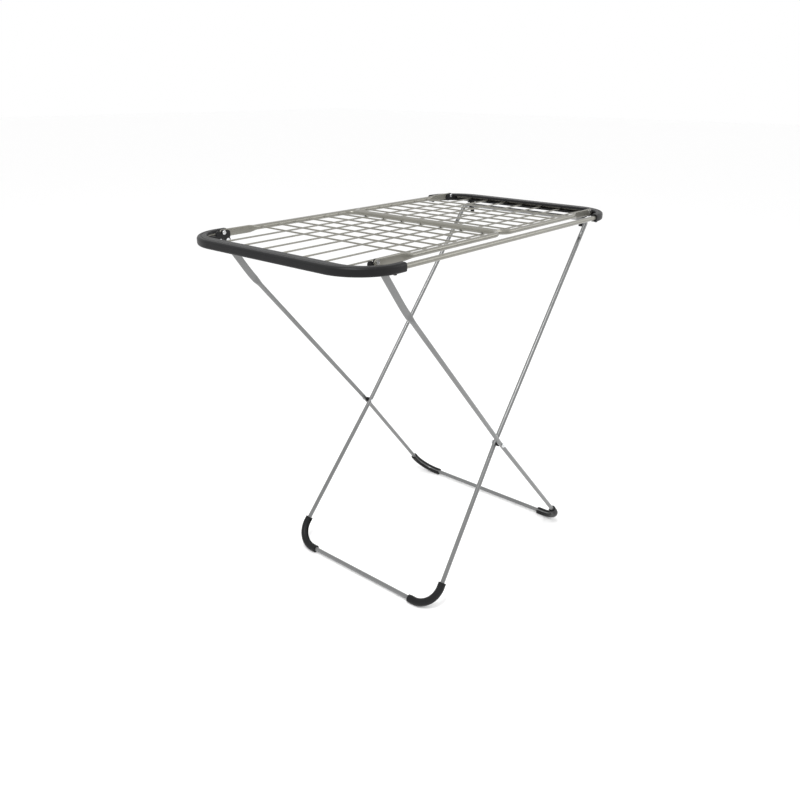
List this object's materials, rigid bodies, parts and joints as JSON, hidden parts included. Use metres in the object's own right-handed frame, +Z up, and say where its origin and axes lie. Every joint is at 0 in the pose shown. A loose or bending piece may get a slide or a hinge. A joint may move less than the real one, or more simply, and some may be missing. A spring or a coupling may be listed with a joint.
{
  "type": "folding clothes drying rack",
  "caption": "Free-standing clothes drying rack with a tube table of parallel lines, two fold-over wings on hinges and crossed folding leg frames with rubber-like feet.",
  "frame": {"origin": "on the floor under the middle of the table, at the bottom centre of the bounding box", "axes": "+X along the table to the end where the inner legs hook on, +Y to the back, +Z up"},
  "size_m": [1.052, 0.586, 0.9658],
  "materials": {
    "table_paint": "satin warm grey metallic paint",
    "leg_paint": "glossy silver grey paint",
    "zinc_steel": "bright zinc",
    "black_plastic": "satin black"
  },
  "bodies": {
    "table": {"back_side_rail": "table_paint", "cover_screws": "black_plastic", "frame_joint_plugs": "zinc_steel", "front_side_rail": "table_paint", "hinge_bracket_back_left": "black_plastic", "hinge_bracket_back_right": "black_plastic", "hinge_bracket_front_left": "black_plastic", "hinge_bracket_front_right": "black_plastic", "left_end_bow": "table_paint", "left_end_cover": "black_plastic", "leg_hook_back": "black_plastic", "leg_hook_front": "black_plastic", "leg_pivot_bolts": "zinc_steel", "leg_pivot_nuts": "zinc_steel", "line_wire_1": "table_paint", "line_wire_2": "table_paint", "line_wire_3": "table_paint", "line_wire_4": "table_paint", "line_wire_5": "table_paint", "line_wire_6": "table_paint", "line_wire_7": "table_paint", "right_end_bow": "table_paint", "right_end_cover": "black_plastic", "wing_hinge_pins": "zinc_steel"},
    "outer_legs": {"outer_foot_back": "black_plastic", "outer_foot_front": "black_plastic", "outer_leg_frame": "leg_paint"},
    "inner_legs": {"cross_bolts": "zinc_steel", "cross_nuts": "zinc_steel", "cross_spacers": "black_plastic", "inner_foot_back": "black_plastic", "inner_foot_front": "black_plastic", "inner_leg_frame": "leg_paint", "inner_top_bow": "leg_paint", "top_bow_plugs": "zinc_steel"},
    "left_wing": {"left_wing_frame": "table_paint", "left_wing_wire_1": "table_paint", "left_wing_wire_2": "table_paint", "left_wing_wire_3": "table_paint", "left_wing_wire_4": "table_paint", "left_wing_wire_5": "table_paint", "left_wing_wire_6": "table_paint"},
    "right_wing": {"right_wing_frame": "table_paint", "right_wing_wire_1": "table_paint", "right_wing_wire_2": "table_paint", "right_wing_wire_3": "table_paint", "right_wing_wire_4": "table_paint", "right_wing_wire_5": "table_paint", "right_wing_wire_6": "table_paint"}
  },
  "joints": [
    {"name": "leg_fold", "type": "hinge", "parent": "table", "child": "outer_legs", "pos_m": [-0.424, 0, 0.94], "axis": [0, 1, 0], "range_deg": [0, 30]},
    {"name": "leg_close", "type": "hinge", "parent": "outer_legs", "child": "inner_legs", "pos_m": [0.0607, 0, 0.3802], "axis": [0, 1, 0], "range_deg": [-66, 0]},
    {"name": "left_wing_hinge", "type": "hinge", "parent": "table", "child": "left_wing", "pos_m": [-0.433, 0, 0.9588], "axis": [0, -1, 0], "range_deg": [0, 164]},
    {"name": "right_wing_hinge", "type": "hinge", "parent": "table", "child": "right_wing", "pos_m": [0.457, 0, 0.9588], "axis": [0, 1, 0], "range_deg": [0, 147]}
  ],
  "couplings": [
    {"joint": "leg_close", "follows": "leg_fold", "ratio": -2.2}
  ]
}
